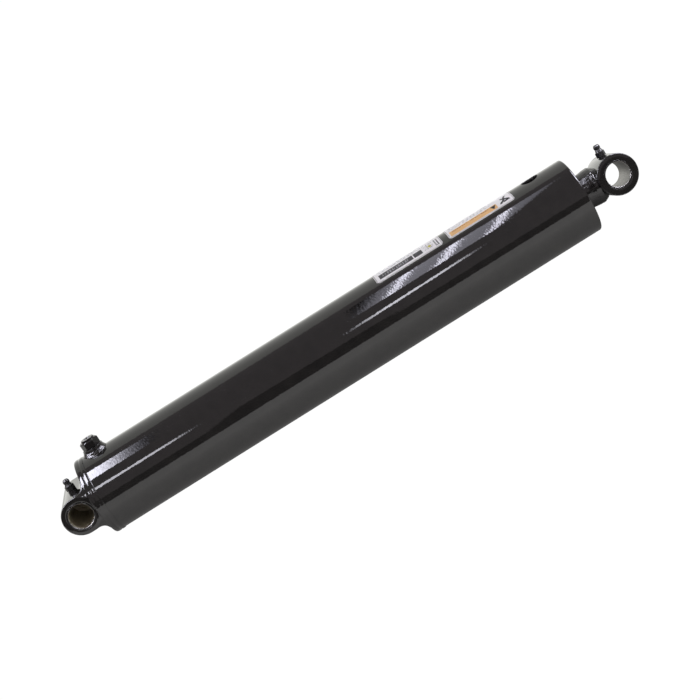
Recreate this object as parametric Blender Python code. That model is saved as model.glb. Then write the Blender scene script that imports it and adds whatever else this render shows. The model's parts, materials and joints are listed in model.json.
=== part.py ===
"""Double-acting welded hydraulic cylinder with a cross-bored eye at each end, closed.

Lengths below are in millimetres and stations are counted from the cap eye's pin axis.
The model is in metres: +X runs from the cap eye to the rod eye, the pins lie along Y,
the oil ports and grease nipples face +Z, and the barrel's weld bead rests on Z = 0.
"""

import math

import bmesh
import bpy
from mathutils import Matrix, Vector

MM = 0.001
GAP = 0.3

PIN_TO_PIN = 636.2
PIN_BORE_R = 12.7
BUSH_R = 14.3
CAP_EYE_R = 20.0
ROD_EYE_R = 21.4
CAP_EYE_HALF = 38.1
ROD_EYE_HALF = 25.4
ROD_TURN = -6.2

TUBE_R = 41.275
BORE_R = 34.925
TUBE_START = 20.9
TUBE_END = 597.1
RING_GROOVE = (591.2, 594.2, 37.1)

CAP_FACE = 15.8
CAP_INNER = 30.0
LUG_FILLET = 8.0
LUG_TRIM_R = 40.2
EYE_TRIM_R = 43.6
WELD_R = 42.3

BASE_PORT_X = 41.9
PORT_BORE_R = 7.15
BOSS_R = 11.0
BOSS_TOP = 46.8
PLUG_TOP = 56.8
PLUG_FLATS = 17.5
HEAD_PORT_X = 559.8
HEAD_PORT_R = 9.25

ROD_R = 19.05
SPUD_R = 12.5
SPUD_END = 32.0
NUT_FLATS = 38.1
NUT = (34.0, 56.2)
PISTON = (56.5, 101.0)
PISTON_R = 34.3
RING_R = 34.6
ROD_SHOULDER = 101.3
ROD_END = 614.35

GLAND = (509.0, 590.9)
GLAND_STEP = 574.5
GLAND_NOSE_R = 29.0
GLAND_BORE_R = 19.7
SEAL_BORE_R = 19.35

BORE_PLUG = (18.0, 37.6)
CAP_NIPPLE_TIP = 32.7
ROD_NIPPLE_TIP = 34.9
NIPPLE_SHANK_R = 3.2
NIPPLE_FLATS = 9.0
NIPPLE_BORE_R = 1.6
BALL_R = 1.25

LABEL_SPANS = {"label_cap_side": (373.0, 450.7), "label_rod_side": (458.3, 535.4)}
LABEL_HALF_ANGLE = 28.5
LABEL_THICK = 0.35
LABEL_CORNER = 4.0

SEGMENTS = 64
INNER_SEGMENTS = 44
AXIS_Z = WELD_R * math.cos(math.pi / SEGMENTS)

MATERIALS = {
    "gloss_black_paint": ((0.012, 0.012, 0.013), 0.0, 0.2),
    "plug_plastic": ((0.06, 0.055, 0.04), 0.0, 0.6),
    "machined_steel": ((0.42, 0.42, 0.43), 1.0, 0.35),
    "chromed_rod": ((0.75, 0.76, 0.78), 1.0, 0.08),
    "zinc_plated_steel": ((0.55, 0.54, 0.5), 1.0, 0.3),
    "nitrile_rubber": ((0.02, 0.02, 0.02), 0.0, 0.6),
    "polyurethane": ((0.05, 0.12, 0.3), 0.0, 0.45),
    "filled_nylon": ((0.1, 0.1, 0.11), 0.0, 0.5),
    "label_film": ((0.85, 0.85, 0.84), 0.0, 0.3),
}


def clear_scene():
    for obj in list(bpy.data.objects):
        bpy.data.objects.remove(obj, do_unlink=True)


def make_materials():
    made = {}
    for name, (colour, metallic, roughness) in MATERIALS.items():
        material = bpy.data.materials.new(name)
        material.use_nodes = True
        shader = material.node_tree.nodes["Principled BSDF"]
        shader.inputs["Base Color"].default_value = (*colour, 1.0)
        shader.inputs["Metallic"].default_value = metallic
        shader.inputs["Roughness"].default_value = roughness
        made[name] = material
    return made


def frame_of(axis, station, height=0.0, turn=0.0):
    """Matrix that takes a piece drawn round +Z (in mm, about its own origin) to its place.

    axis is the direction the piece's own +Z takes. turn rolls it about the cylinder's axis.
    """
    point = {
        "X": Matrix.Rotation(math.radians(90), 4, "Y"),
        "Y": Matrix.Rotation(math.radians(-90), 4, "X"),
        "Z": Matrix.Identity(4),
    }[axis]
    local = Matrix.Translation(Vector((station, 0.0, height))) @ point
    roll = Matrix.Rotation(math.radians(turn), 4, "X")
    place = Matrix.Translation(Vector((-(PIN_TO_PIN + ROD_EYE_R - CAP_EYE_R) / 2, 0.0, AXIS_Z)))
    return Matrix.Scale(MM, 4) @ place @ roll @ local


def finish(name, bm, matrix, slot):
    bmesh.ops.recalc_face_normals(bm, faces=bm.faces)
    bm.transform(matrix)
    mesh = bpy.data.meshes.new(name)
    bm.to_mesh(mesh)
    bm.free()
    mesh.shade_smooth()
    mesh.set_sharp_from_angle(angle=math.radians(32))
    obj = bpy.data.objects.new(name, mesh)
    obj.data.materials.append(SLOTS[slot])
    bpy.context.scene.collection.objects.link(obj)
    return obj


def hex_radius(angle, flats):
    """Distance from the centre to a hexagon's side, with a corner at angle 0."""
    within = math.fmod(angle, math.pi / 3) - math.pi / 6
    return flats / 2 / math.cos(within)


def turned(name, profile, slot, matrix, ring=False, segments=SEGMENTS, phase=0.5, sweep=360.0):
    """Body of revolution about +Z from (height, radius) or (height, radius, across flats) points.

    A ring's profile is a closed loop. Any other profile starts and ends on the axis.
    """
    bm = bmesh.new()
    whole = sweep >= 360.0
    count = segments if whole else segments + 1
    rows = []
    for point in profile:
        height, radius = point[0], point[1]
        if radius == 0:
            rows.append([bm.verts.new((0.0, 0.0, height))] * count)
            continue
        row = []
        for k in range(count):
            angle = math.radians(sweep) * (k + phase) / segments
            reach = min(radius, hex_radius(angle, point[2])) if len(point) > 2 else radius
            row.append(bm.verts.new((reach * math.cos(angle), reach * math.sin(angle), height)))
        rows.append(row)
    last = len(rows) if ring else len(rows) - 1
    steps = count if whole else count - 1
    for i in range(last):
        here, there = rows[i], rows[(i + 1) % len(rows)]
        for k in range(steps):
            corners = (here[k], here[(k + 1) % count], there[(k + 1) % count], there[k])
            bm.faces.new(list(dict.fromkeys(corners)))
    if not whole:
        bm.faces.new([row[0] for row in rows])
        bm.faces.new([row[-1] for row in reversed(rows)])
    return finish(name, bm, matrix, slot)


def saddle_ring(name, profile, slot, station, segments=48):
    """Ring round +Z that stands on the barrel, from (radius, height, on_barrel) points.

    A height with on_barrel set is counted from the barrel's surface, else from its axis.
    """
    bm = bmesh.new()
    rows = []
    for radius, height, on_barrel in profile:
        row = []
        for k in range(segments):
            angle = math.tau * (k + 0.5) / segments
            x, y = radius * math.cos(angle), radius * math.sin(angle)
            base = math.sqrt((TUBE_R + GAP) ** 2 - y * y) if on_barrel else 0.0
            row.append(bm.verts.new((x, y, base + height)))
        rows.append(row)
    for i, here in enumerate(rows):
        there = rows[(i + 1) % len(rows)]
        for k in range(segments):
            n = (k + 1) % segments
            bm.faces.new((here[k], here[n], there[n], there[k]))
    return finish(name, bm, frame_of("Z", station), slot)


def prism(name, outline, half, slot, matrix):
    """Outline of (x, z) points carried along Y from -half to half."""
    bm = bmesh.new()
    near = [bm.verts.new((x, -half, z)) for x, z in outline]
    far = [bm.verts.new((x, half, z)) for x, z in outline]
    bm.faces.new(near)
    bm.faces.new(list(reversed(far)))
    for k in range(len(outline)):
        n = (k + 1) % len(outline)
        bm.faces.new((near[k], near[n], far[n], far[k]))
    return finish(name, bm, matrix, slot)


def helper(obj):
    obj.hide_render = True
    obj.display_type = "WIRE"
    return obj


def boolean(obj, other, operation):
    modifier = obj.modifiers.new(other.name, "BOOLEAN")
    modifier.operation = operation
    modifier.solver = "EXACT"
    modifier.object = helper(other)


def drill(obj, label, radius, low, high, matrix, segments=32):
    """Round hole along the matrix's own +Z, from low to high."""
    profile = [(low, 0), (low, radius), (high, radius), (high, 0)]
    cutter = turned(f"cut_{label}", profile, "machined_steel", matrix, segments=segments)
    boolean(obj, cutter, "DIFFERENCE")


def section(centre, radius, sides=10):
    """Closed round section of a seal as (height, radius) points."""
    points = []
    for k in range(sides):
        angle = math.tau * (k + 0.5) / sides
        points.append((centre[0] + radius * math.cos(angle), centre[1] + radius * math.sin(angle)))
    return points


def band(low, high, inner, outer, chamfer=0.3):
    """Closed rectangular section with its outer corners cut back."""
    return [
        (low, inner),
        (low, outer - chamfer),
        (low + chamfer, outer),
        (high - chamfer, outer),
        (high, outer - chamfer),
        (high, inner),
    ]


def along_x(turn=0.0):
    return frame_of("X", 0.0, turn=turn)


def make_barrel():
    groove_low, groove_high, groove_r = RING_GROOVE
    profile = [
        (24.3, TUBE_R),
        (595.1, TUBE_R),
        (596.5, TUBE_R - 0.45),
        (TUBE_END, TUBE_R - 1.4),
        (TUBE_END, 36.0),
        (TUBE_END - 0.8, 35.2),
        (groove_high, 35.2),
        (groove_high, groove_r),
        (groove_low, groove_r),
        (groove_low, BORE_R),
        (TUBE_START, BORE_R),
        (TUBE_START, 36.0),
    ]
    tube = turned("barrel_tube", profile, "gloss_black_paint", along_x(), ring=True)
    drill(tube, "base_port", PORT_BORE_R + GAP, 20.0, 60.0, frame_of("Z", BASE_PORT_X))
    drill(tube, "head_port", HEAD_PORT_R, 20.0, 60.0, frame_of("Z", HEAD_PORT_X), 48)
    bead = [
        (17.0, 41.35),
        (18.5, 41.35),
        (18.6, 41.0),
        (20.75, 36.9),
        (23.9, 41.2),
        (24.1, 41.6),
        (26.7, 41.6),
        (26.4, 42.0),
        (25.0, WELD_R),
        (23.2, 42.25),
        (22.1, 41.8),
        (21.0, 42.25),
        (19.2, WELD_R),
        (17.7, 42.0),
    ]
    turned("cap_weld", bead, "gloss_black_paint", along_x(), ring=True)


def lug_outline():
    """U-shaped lug round the cap pin, flared into the cap by a fillet above and below."""
    points = []
    for k in range(33):
        angle = math.radians(90 + 180 * k / 32)
        points.append((CAP_EYE_R * math.cos(angle), CAP_EYE_R * math.sin(angle)))
    flare = []
    for k in range(9):
        angle = math.radians(90 * k / 8)
        x = CAP_FACE - LUG_FILLET + LUG_FILLET * math.sin(angle)
        flare.append((x, CAP_EYE_R + LUG_FILLET * (1 - math.cos(angle))))
    root = (CAP_FACE + 2.0, CAP_EYE_R + LUG_FILLET)
    lower = [(x, -z) for x, z in flare] + [(root[0], -root[1])]
    upper = [root] + list(reversed(flare))
    return points + lower + upper


def make_cap():
    place = frame_of("Z", 0.0)
    casting = prism("cap_eye_casting", lug_outline(), CAP_EYE_HALF, "gloss_black_paint", place)
    trim = [(-40.0, 0), (-40.0, EYE_TRIM_R), (3.0, EYE_TRIM_R), (14.0, LUG_TRIM_R), (20.0, LUG_TRIM_R), (20.0, 0)]
    boolean(casting, turned("cut_lug_trim", trim, "gloss_black_paint", along_x()), "INTERSECT")
    plate = [
        (CAP_FACE, 0),
        (CAP_FACE, 39.2),
        (17.6, 41.0),
        (18.2, 41.0),
        (20.6, 36.0),
        (20.6, RING_R),
        (CAP_INNER - 1.0, RING_R),
        (CAP_INNER, RING_R - 1.0),
        (CAP_INNER, 0),
    ]
    boolean(casting, turned("add_cap_plate", plate, "gloss_black_paint", along_x()), "UNION")
    across = frame_of("Y", 0.0)
    drill(casting, "cap_bush_seat", BUSH_R + GAP, -50.0, 50.0, across, 48)
    drill(casting, "cap_grease_way", NIPPLE_SHANK_R + GAP, 5.0, 30.0, place, 20)


def make_bush(name, half, station, turn):
    profile = [
        (-half, PIN_BORE_R + 0.5),
        (-half, BUSH_R - 0.3),
        (-half + 0.5, BUSH_R),
        (half - 0.5, BUSH_R),
        (half, BUSH_R - 0.3),
        (half, PIN_BORE_R + 0.5),
        (half - 0.5, PIN_BORE_R),
        (-half + 0.5, PIN_BORE_R),
    ]
    across = frame_of("Y", station, turn=turn)
    bush = turned(name, profile, "machined_steel", across, ring=True, segments=40)
    drill(bush, f"{name}_oil_hole", 2.0, 8.0, 20.0, frame_of("Z", station, turn=turn), 16)


def make_bore_plug():
    """Push-in plug that closes the far end of the cap eye's bushing until a pin is fitted."""
    radius = PIN_BORE_R - GAP
    near, far = BORE_PLUG
    cup = [
        (near, 0),
        (near, radius - 0.6),
        (near + 0.6, radius),
        (far, radius),
        (far, radius - 1.4),
        (near + 2.0, radius - 1.4),
        (near + 2.0, 0),
    ]
    turned("cap_bore_plug", cup, "plug_plastic", frame_of("Y", 0.0), segments=40)


def make_nipple(prefix, eye_radius, tip, station, turn):
    foot = BUSH_R + 1.2
    hex_low = eye_radius + 0.4
    profile = [
        (foot, NIPPLE_BORE_R),
        (foot, NIPPLE_SHANK_R - 0.3),
        (foot + 0.5, NIPPLE_SHANK_R),
        (hex_low, NIPPLE_SHANK_R),
        (hex_low, 4.7, NIPPLE_FLATS),
        (hex_low + 0.5, 5.3, NIPPLE_FLATS),
        (hex_low + 4.6, 5.3, NIPPLE_FLATS),
        (hex_low + 5.1, 4.6, NIPPLE_FLATS),
        (hex_low + 5.1, 4.0),
        (tip - 5.0, 3.1),
        (tip - 4.2, 3.3),
        (tip - 3.4, 3.6),
        (tip - 2.2, 3.5),
        (tip, 2.3),
        (tip, 0.8),
        (tip - 1.0, 0.8),
        (tip - 1.5, NIPPLE_BORE_R),
    ]
    place = frame_of("Z", station, turn=turn)
    name = f"{prefix}_grease_nipple"
    turned(name, profile, "gloss_black_paint", place, ring=True, segments=18, phase=0.0)
    low = tip - 2.5 - BALL_R
    ball = [(low, 0)]
    for k in range(1, 8):
        angle = math.pi * k / 8
        ball.append((low + BALL_R * (1 - math.cos(angle)), BALL_R * math.sin(angle)))
    ball.append((low + 2 * BALL_R, 0))
    turned(f"{prefix}_nipple_ball", ball, "machined_steel", place, segments=16)


def make_base_port():
    boss = [
        (PORT_BORE_R, 0.0, True),
        (BOSS_R, 0.0, True),
        (BOSS_R, BOSS_TOP - 0.5, False),
        (BOSS_R - 0.5, BOSS_TOP, False),
        (9.3, BOSS_TOP, False),
        (9.3, BOSS_TOP - 1.8, False),
        (PORT_BORE_R, BOSS_TOP - 1.8, False),
    ]
    saddle_ring("base_port_boss", boss, "gloss_black_paint", BASE_PORT_X)
    fillet = [
        (BOSS_R + GAP, 0.0, True),
        (13.4, 0.0, True),
        (13.4, 0.4, True),
        (12.7, 1.1, True),
        (11.9, 2.2, True),
        (BOSS_R + GAP, 3.6, True),
    ]
    saddle_ring("base_port_weld", fillet, "gloss_black_paint", BASE_PORT_X)
    head = BOSS_TOP + GAP
    plug = [
        (36.8, 0),
        (36.8, 6.3),
        (37.4, PORT_BORE_R - GAP),
        (head, PORT_BORE_R - GAP),
        (head, 9.5, PLUG_FLATS),
        (head + 0.6, 10.2, PLUG_FLATS),
        (PLUG_TOP - 2.9, 10.2, PLUG_FLATS),
        (PLUG_TOP - 1.9, 8.6, PLUG_FLATS),
        (PLUG_TOP - 1.9, 7.0),
        (PLUG_TOP - 0.4, 7.0),
        (PLUG_TOP, 6.6),
        (PLUG_TOP, 0),
    ]
    place = frame_of("Z", BASE_PORT_X)
    turned("base_port_plug", plug, "gloss_black_paint", place, segments=48, phase=0.0)
    seal = section((BOSS_TOP - 0.75, 8.1), 0.8, 8)
    turned("plug_o_ring", seal, "nitrile_rubber", place, ring=True, segments=32)


def make_head():
    low, high = GLAND
    profile = [
        (low, GLAND_BORE_R + 0.6),
        (low, GLAND_NOSE_R - 1.0),
        (low + 1.0, GLAND_NOSE_R),
        (GLAND_STEP, GLAND_NOSE_R),
        (GLAND_STEP, RING_R),
        (577.5, RING_R),
        (577.5, 31.6),
        (583.5, 31.6),
        (583.5, RING_R),
        (high - 0.8, RING_R),
        (high, RING_R - 0.8),
        (high, 23.7),
        (584.5, 23.7),
        (584.5, GLAND_BORE_R),
        (570.0, GLAND_BORE_R),
        (570.0, 24.3),
        (560.0, 24.3),
        (560.0, GLAND_BORE_R),
        (549.0, GLAND_BORE_R),
        (549.0, 21.3),
        (519.0, 21.3),
        (519.0, GLAND_BORE_R),
        (low + 0.6, GLAND_BORE_R),
    ]
    turned("head_gland", profile, "machined_steel", along_x(), ring=True, segments=INNER_SEGMENTS)
    wiper = [
        (584.8, SEAL_BORE_R + 0.4),
        (584.8, 23.4),
        (590.4, 23.4),
        (591.0, 22.4),
        (592.6, SEAL_BORE_R + 0.7),
        (592.6, SEAL_BORE_R),
        (590.6, SEAL_BORE_R),
        (588.2, SEAL_BORE_R + 0.9),
    ]
    rod_seal = [
        (560.3, SEAL_BORE_R),
        (560.3, 20.4),
        (564.6, 21.5),
        (564.6, 22.1),
        (560.3, 23.0),
        (560.3, 24.0),
        (569.7, 24.0),
        (569.7, SEAL_BORE_R + 0.2),
    ]
    bearing = band(519.3, 548.7, SEAL_BORE_R, 21.0)
    pieces = {
        "gland_rod_bearing": (bearing, "filled_nylon"),
        "gland_rod_seal": (rod_seal, "polyurethane"),
        "gland_wiper": (wiper, "polyurethane"),
        "gland_o_ring": (section((579.4, 33.25), 1.35), "nitrile_rubber"),
        "gland_backup_ring": (band(581.2, 583.2, 31.9, RING_R), "filled_nylon"),
    }
    for name, (shape, slot) in pieces.items():
        turned(name, shape, slot, along_x(), ring=True, segments=INNER_SEGMENTS)
    clip = band(RING_GROOVE[0] + GAP, RING_GROOVE[1] - GAP, 32.6, RING_GROOVE[2] - 0.4, 0.2)
    open_up = frame_of("X", 0.0, turn=100.0)
    name = "gland_retaining_ring"
    turned(name, clip, "machined_steel", open_up, ring=True, segments=36, sweep=330.0)


def make_labels():
    reach = math.radians(LABEL_HALF_ANGLE)
    corner = LABEL_CORNER / TUBE_R
    angles = [-reach + corner * (1 - math.cos(math.radians(a))) for a in (0, 25, 50, 70, 90)]
    middle = [-reach + corner + (reach - corner) * k / 5 for k in range(1, 6)]
    half = angles + middle
    angles = half + [-a for a in reversed(half[:-1])]
    for name, (low, high) in LABEL_SPANS.items():
        bm = bmesh.new()
        rows = []
        for angle in angles:
            into = min(1.0, max(0.0, (reach - abs(angle)) / corner))
            inset = LABEL_CORNER * (1 - math.sqrt(1 - (1 - into) ** 2))
            row = []
            for radius in (TUBE_R + GAP, TUBE_R + GAP + LABEL_THICK):
                for x in (low + inset, high - inset):
                    row.append(bm.verts.new((x, radius * math.sin(angle), radius * math.cos(angle))))
            rows.append(row)
        for here, there in zip(rows, rows[1:]):
            for a, b in ((0, 1), (1, 3), (3, 2), (2, 0)):
                bm.faces.new((here[a], here[b], there[b], there[a]))
        for row in (rows[0], rows[-1]):
            bm.faces.new((row[0], row[1], row[3], row[2]))
        finish(name, bm, frame_of("Z", 0.0), "label_film")


def make_rod():
    rod = [
        (SPUD_END, 0),
        (SPUD_END, SPUD_R - 1.0),
        (SPUD_END + 1.0, SPUD_R),
        (ROD_SHOULDER, SPUD_R),
        (ROD_SHOULDER, ROD_R - 1.0),
        (ROD_SHOULDER + 1.0, ROD_R),
        (ROD_END, ROD_R),
        (ROD_END, 0),
    ]
    turned("piston_rod", rod, "chromed_rod", along_x(ROD_TURN))
    nut = [
        (NUT[0], SPUD_R + GAP),
        (NUT[0], NUT_FLATS / 2, NUT_FLATS),
        (NUT[0] + 1.6, NUT_FLATS * 0.58, NUT_FLATS),
        (NUT[1] - 1.6, NUT_FLATS * 0.58, NUT_FLATS),
        (NUT[1], NUT_FLATS / 2, NUT_FLATS),
        (NUT[1], SPUD_R + GAP),
    ]
    turned("piston_nut", nut, "zinc_plated_steel", along_x(ROD_TURN), ring=True, segments=48, phase=0.0)


def make_piston():
    low, high = PISTON
    grooves = ((61.0, 70.5, 32.0), (74.5, 83.5, 28.6), (87.5, 97.0, 32.0))
    outer = [(low, SPUD_R + GAP), (low, PISTON_R - 1.0), (low + 1.0, PISTON_R)]
    for start, end, floor in grooves:
        outer += [(start, PISTON_R), (start, floor), (end, floor), (end, PISTON_R)]
    outer += [(high - 1.0, PISTON_R), (high, PISTON_R - 1.0), (high, SPUD_R + GAP)]
    inner = [(93.0, SPUD_R + GAP), (93.0, 15.4), (89.0, 15.4), (89.0, SPUD_R + GAP)]
    place = along_x(ROD_TURN)
    turned("piston", outer + inner, "machined_steel", place, ring=True, segments=INNER_SEGMENTS)
    seal = section((91.0, 14.0), 1.15, 8)
    turned("piston_o_ring", seal, "nitrile_rubber", place, ring=True, segments=32)
    pieces = {
        "piston_wear_ring_cap": (band(61.3, 70.2, 32.3, RING_R), "filled_nylon"),
        "piston_wear_ring_rod": (band(87.8, 96.7, 32.3, RING_R), "filled_nylon"),
        "piston_seal": (band(74.8, 83.2, 32.2, RING_R, 0.6), "polyurethane"),
        "piston_energiser": (band(75.2, 82.8, 28.9, 31.9, 0.8), "nitrile_rubber"),
    }
    for name, (shape, slot) in pieces.items():
        turned(name, shape, slot, along_x(), ring=True, segments=INNER_SEGMENTS)


def make_rod_eye():
    half = ROD_EYE_HALF
    profile = [
        (-half, BUSH_R + GAP),
        (-half, ROD_EYE_R - 0.8),
        (-half + 0.8, ROD_EYE_R),
        (half - 0.8, ROD_EYE_R),
        (half, ROD_EYE_R - 0.8),
        (half, BUSH_R + GAP),
    ]
    across = frame_of("Y", PIN_TO_PIN, turn=ROD_TURN)
    eye = turned("rod_eye", profile, "gloss_black_paint", across, ring=True)
    up = frame_of("Z", PIN_TO_PIN, turn=ROD_TURN)
    drill(eye, "rod_grease_way", NIPPLE_SHANK_R + GAP, 5.0, 30.0, up, 20)
    bead = [
        (614.65, 0),
        (614.65, ROD_R + GAP),
        (605.0, ROD_R + GAP),
        (606.1, ROD_R + 0.75),
        (610.0, ROD_R + 1.1),
        (614.65, ROD_R + 1.2),
        (617.5, ROD_R + 0.5),
        (620.1, ROD_R - 1.2),
        (621.9, ROD_R - 3.2),
        (623.5, ROD_R - 6.0),
        (623.5, 0),
    ]
    weld = turned("rod_eye_weld", bead, "gloss_black_paint", along_x(ROD_TURN))
    drill(weld, "weld_saddle", ROD_EYE_R + GAP, -30.0, 30.0, across, 64)


clear_scene()
SLOTS = make_materials()
make_barrel()
make_cap()
make_bush("cap_bushing", CAP_EYE_HALF, 0.0, 0.0)
make_bush("rod_bushing", ROD_EYE_HALF, PIN_TO_PIN, ROD_TURN)
make_bore_plug()
make_nipple("cap", CAP_EYE_R, CAP_NIPPLE_TIP, 0.0, 0.0)
make_nipple("rod", ROD_EYE_R, ROD_NIPPLE_TIP, PIN_TO_PIN, ROD_TURN)
make_base_port()
make_head()
make_labels()
make_rod()
make_piston()
make_rod_eye()
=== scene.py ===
"""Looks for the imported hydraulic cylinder: fine meshes, procedural materials, studio and camera."""

import json
import math

import bmesh
import bpy
import numpy as np
from mathutils import Matrix, Vector


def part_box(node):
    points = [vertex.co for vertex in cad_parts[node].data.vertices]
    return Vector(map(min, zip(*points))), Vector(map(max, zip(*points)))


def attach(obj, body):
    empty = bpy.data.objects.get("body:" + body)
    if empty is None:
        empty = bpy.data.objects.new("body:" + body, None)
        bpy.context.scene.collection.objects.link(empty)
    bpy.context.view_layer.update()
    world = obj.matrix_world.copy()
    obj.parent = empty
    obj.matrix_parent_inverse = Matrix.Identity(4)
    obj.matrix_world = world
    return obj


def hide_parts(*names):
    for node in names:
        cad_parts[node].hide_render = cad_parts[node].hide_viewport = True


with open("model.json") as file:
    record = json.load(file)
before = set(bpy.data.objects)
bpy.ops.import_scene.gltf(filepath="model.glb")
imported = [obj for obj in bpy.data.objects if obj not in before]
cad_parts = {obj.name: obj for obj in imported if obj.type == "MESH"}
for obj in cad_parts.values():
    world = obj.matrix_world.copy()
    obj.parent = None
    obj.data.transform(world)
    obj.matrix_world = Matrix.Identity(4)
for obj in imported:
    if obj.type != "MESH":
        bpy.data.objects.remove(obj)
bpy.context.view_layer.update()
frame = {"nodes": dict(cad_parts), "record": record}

# Sizes in millimetres and angles in degrees, as in the CAD. Stations run from the cap pin along the barrel.
MM = 0.001
ROD_TURN = -6.2  # the rod's eye rests turned this far from the cap's
TUBE_R = 41.275
BORE_R = 34.925
TUBE_START = 24.3
TUBE_END = 597.1
ROD_R = 19.05
PAINTED_ROD_X = 593.2
PISTON_ROD_END = 614.3
CAP_EYE_R = 20.0
CAP_EYE_HALF = 38.1
ROD_EYE_R = 21.4
ROD_EYE_HALF = 25.4
BUSH_R = 14.3
PIN_R = 12.7
BUSH_PAINTED = 0.5  # overspray at each mouth of a bushing
CAP_FACE = 15.8
CAP_VOXEL = 0.00058  # metres; keeps the casting's mesh under the export's face limit
FLARE_R = 8.0
WELD_R = 42.3
BASE_PORT_X = 41.9
BASE_PORT_BORE_R = 7.45
PLUG_FLATS = 17.5
HEAD_PORT_X = 559.8
HEAD_PORT_R = 9.25
NIPPLE_FLATS = 9.0
CAP_NIPPLE_TIP = 32.7
ROD_NIPPLE_TIP = 34.9
LABEL_HALF_ANGLE = 28.5
CAP_LABEL = (373.0, 450.7)
ROD_LABEL = (458.3, 535.4)


def middle(node, axis):
    low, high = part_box(node)
    return (low[axis] + high[axis]) / 2


CAP_X = middle("cap_bushing", 0)
ROD_X = middle("rod_bushing", 0)
AXIS_Z = middle("barrel_tube", 2)
PIN_TO_PIN = (ROD_X - CAP_X) / MM


def frame_of(axis, station, turn=0.0):
    """Matrix from millimetres round a piece's own +Z to the frame in metres, turned about the barrel."""
    point = {
        "X": Matrix.Rotation(math.radians(90), 4, "Y"),
        "Y": Matrix.Rotation(math.radians(-90), 4, "X"),
        "Z": Matrix.Identity(4),
    }[axis]
    local = Matrix.Translation(Vector((station, 0.0, 0.0))) @ point
    roll = Matrix.Rotation(math.radians(turn), 4, "X")
    return Matrix.Translation(Vector((CAP_X, 0.0, AXIS_Z))) @ Matrix.Scale(MM, 4) @ roll @ local


# ---------------------------------------------------------------- materials


class Nodes:
    """Short hand for building a material's node tree."""

    def __init__(self, name):
        self.material = bpy.data.materials.new(name)
        self.material.use_nodes = True
        self.tree = self.material.node_tree
        self.shader = self.tree.nodes["Principled BSDF"]

    def add(self, kind, **settings):
        node = self.tree.nodes.new(kind)
        for key, value in settings.items():
            if key.startswith("in_"):
                label = key[3:].replace("_", " ")
                node.inputs[label].default_value = value
            else:
                setattr(node, key, value)
        return node

    def link(self, a, out, b, into):
        self.tree.links.new(a.outputs[out], b.inputs[into])

    def coords(self, scale=(1.0, 1.0, 1.0)):
        source = self.add("ShaderNodeTexCoord")
        mapping = self.add("ShaderNodeMapping")
        mapping.inputs["Scale"].default_value = scale
        self.link(source, "Object", mapping, "Vector")
        return mapping

    def noise(self, where, scale, detail=2.0, rough=0.5):
        node = self.add("ShaderNodeTexNoise", in_Scale=scale, in_Detail=detail, in_Roughness=rough)
        self.link(where, "Vector", node, "Vector")
        return node

    def ramp(self, source, out, stops):
        node = self.add("ShaderNodeValToRGB")
        elements = node.color_ramp.elements
        while len(elements) < len(stops):
            elements.new(0.5)
        for element, (place, value) in zip(elements, stops):
            element.position = place
            colour = value if isinstance(value, tuple) else (value, value, value)
            element.color = (*colour, 1.0)
        self.link(source, out, node, "Fac")
        return node

    def bump(self, source, out, distance, strength=1.0, after=None):
        node = self.add("ShaderNodeBump", in_Distance=distance, in_Strength=strength)
        self.link(source, out, node, "Height")
        if after:
            self.link(after, "Normal", node, "Normal")
        return node

    def set(self, **values):
        for key, value in values.items():
            self.shader.inputs[key.replace("_", " ")].default_value = value


def black_paint(name, peel=1.0, lumps=0.0):
    """Gloss black enamel with orange peel, faint dust and slight gloss variation."""
    n = Nodes(name)
    where = n.coords()
    n.set(IOR=1.52)
    dust = n.noise(where, 90.0, 4.0, 0.6)
    tint = n.ramp(dust, "Fac", [(0.35, (0.0095, 0.009, 0.009)), (0.75, (0.016, 0.015, 0.0145))])
    n.link(tint, "Color", n.shader, "Base Color")
    gloss = n.ramp(n.noise(where, 24.0, 3.0), "Fac", [(0.3, 0.03), (0.7, 0.055)])
    n.link(gloss, "Color", n.shader, "Roughness")
    fine = n.noise(where, 520.0, 1.0, 0.4)
    coarse = n.noise(where, 210.0, 2.0, 0.45)
    bump = n.bump(fine, "Fac", 0.00005 * peel, 0.5)
    bump = n.bump(coarse, "Fac", 0.00004 * peel, 0.5, bump)
    if lumps:
        grit = n.noise(where, 700.0, 3.0, 0.6)
        bump = n.bump(grit, "Fac", 0.0002 * lumps, 0.7, bump)
    n.link(bump, "Normal", n.shader, "Normal")
    return n.material


def turned_metal(name, colour, rough, axis, grain=1400.0, streak=0.5, depth=0.00002):
    """Bare metal with fine tool marks that run round the given axis."""
    n = Nodes(name)
    stretch = [grain * 0.02] * 3
    stretch["XYZ".index(axis)] = grain
    where = n.coords(tuple(stretch))
    marks = n.noise(where, 1.0, 3.0, 0.7)
    shades = [(0.3, tuple(c * (1 - 0.25 * streak) for c in colour)), (0.7, colour)]
    n.link(n.ramp(marks, "Fac", shades), "Color", n.shader, "Base Color")
    gloss = n.ramp(marks, "Fac", [(0.3, rough * 1.25), (0.7, rough * 0.8)])
    n.link(gloss, "Color", n.shader, "Roughness")
    n.link(n.bump(marks, "Fac", depth, 0.6), "Normal", n.shader, "Normal")
    n.set(Metallic=1.0)
    return n.material


def speckled(name, low, high, rough, scale, metallic=0.0, depth=0.00005):
    """Even material whose colour, gloss and surface wander a little."""
    n = Nodes(name)
    where = n.coords()
    grain = n.noise(where, scale, 4.0, 0.6)
    n.link(n.ramp(grain, "Fac", [(0.3, low), (0.7, high)]), "Color", n.shader, "Base Color")
    gloss = n.ramp(grain, "Fac", [(0.3, rough * 0.85), (0.7, rough * 1.15)])
    n.link(gloss, "Color", n.shader, "Roughness")
    n.link(n.bump(grain, "Fac", depth, 0.5), "Normal", n.shader, "Normal")
    n.set(Metallic=metallic)
    return n.material


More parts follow.
